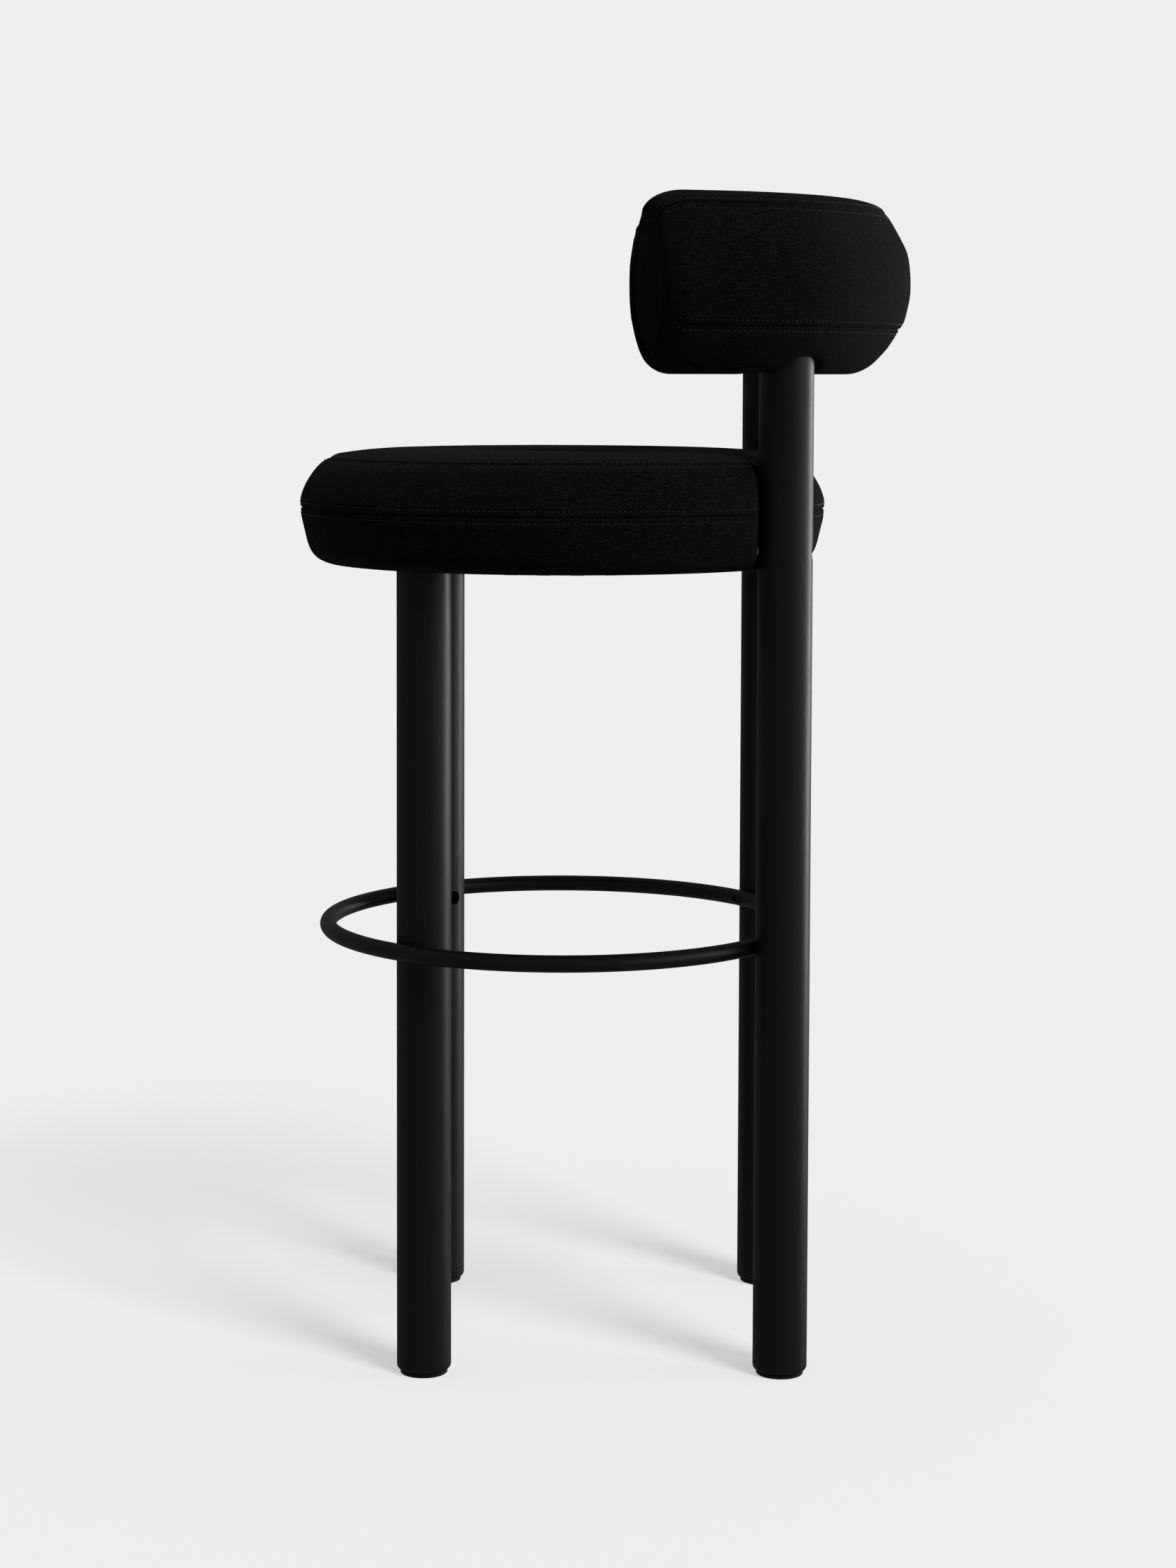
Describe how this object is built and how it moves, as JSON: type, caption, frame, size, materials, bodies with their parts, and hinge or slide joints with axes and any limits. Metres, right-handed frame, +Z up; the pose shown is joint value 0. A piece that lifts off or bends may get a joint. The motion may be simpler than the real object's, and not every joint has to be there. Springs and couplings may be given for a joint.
{
  "type": "bar stool",
  "caption": "Bar stool with a round upholstered seat, a curved padded backrest on its tall rear legs, round wooden legs and a steel ring footrest.",
  "frame": {"origin": "on the floor, under the middle of the stool's box", "axes": "+Z up, -Y towards the front, where the sitter faces, +X towards the sitter's left side; the stool is symmetric about X = 0"},
  "size_m": [0.4644, 0.523, 0.976],
  "materials": {
    "stained_wood": "black stained, satin lacquer, fine grain",
    "cover_fabric": "black woven upholstery fabric with twin topstitching",
    "lining_cloth": "thin black lining cloth",
    "painted_steel": "black powder coat, satin",
    "zinc_steel": "zinc plated",
    "brass": "turned",
    "plywood": "bare birch plywood",
    "foam": "open-cell upholstery foam",
    "glide_plastic": "black nylon"
  },
  "bodies": {
    "root": {"backrest_bolt_rear_left": "zinc_steel", "backrest_bolt_rear_right": "zinc_steel", "backrest_core": "plywood", "backrest_cover_bottom": "cover_fabric", "backrest_cover_inner": "cover_fabric", "backrest_cover_outer": "cover_fabric", "backrest_cover_top": "cover_fabric", "backrest_end_panel_left": "cover_fabric", "backrest_end_panel_right": "cover_fabric", "backrest_foam": "foam", "backrest_nut_rear_left": "zinc_steel", "backrest_nut_rear_right": "zinc_steel", "barrel_nut_rear_left": "zinc_steel", "barrel_nut_rear_right": "zinc_steel", "footrest_ring": "painted_steel", "front_leg_left": "stained_wood", "front_leg_right": "stained_wood", "glide_front_left": "glide_plastic", "glide_front_right": "glide_plastic", "glide_rear_left": "glide_plastic", "glide_rear_right": "glide_plastic", "glide_screw_front_left": "zinc_steel", "glide_screw_front_right": "zinc_steel", "glide_screw_rear_left": "zinc_steel", "glide_screw_rear_right": "zinc_steel", "rear_leg_left": "stained_wood", "rear_leg_right": "stained_wood", "ring_insert_rear_left": "brass", "ring_insert_rear_right": "brass", "ring_screw_front_left": "painted_steel", "ring_screw_front_right": "painted_steel", "ring_screw_rear_left": "painted_steel", "ring_screw_rear_right": "painted_steel", "seat_base": "plywood", "seat_bolt_front_left": "zinc_steel", "seat_bolt_front_right": "zinc_steel", "seat_bolt_plug_rear_left": "stained_wood", "seat_bolt_plug_rear_right": "stained_wood", "seat_bolt_rear_left": "zinc_steel", "seat_bolt_rear_right": "zinc_steel", "seat_cover_lower_band": "cover_fabric", "seat_cover_top": "cover_fabric", "seat_cover_upper_band": "cover_fabric", "seat_dowel_front_left": "plywood", "seat_dowel_front_right": "plywood", "seat_dust_cover": "lining_cloth", "seat_foam": "foam", "seat_insert_front_left": "brass", "seat_insert_front_right": "brass"}
  },
  "joints": []
}
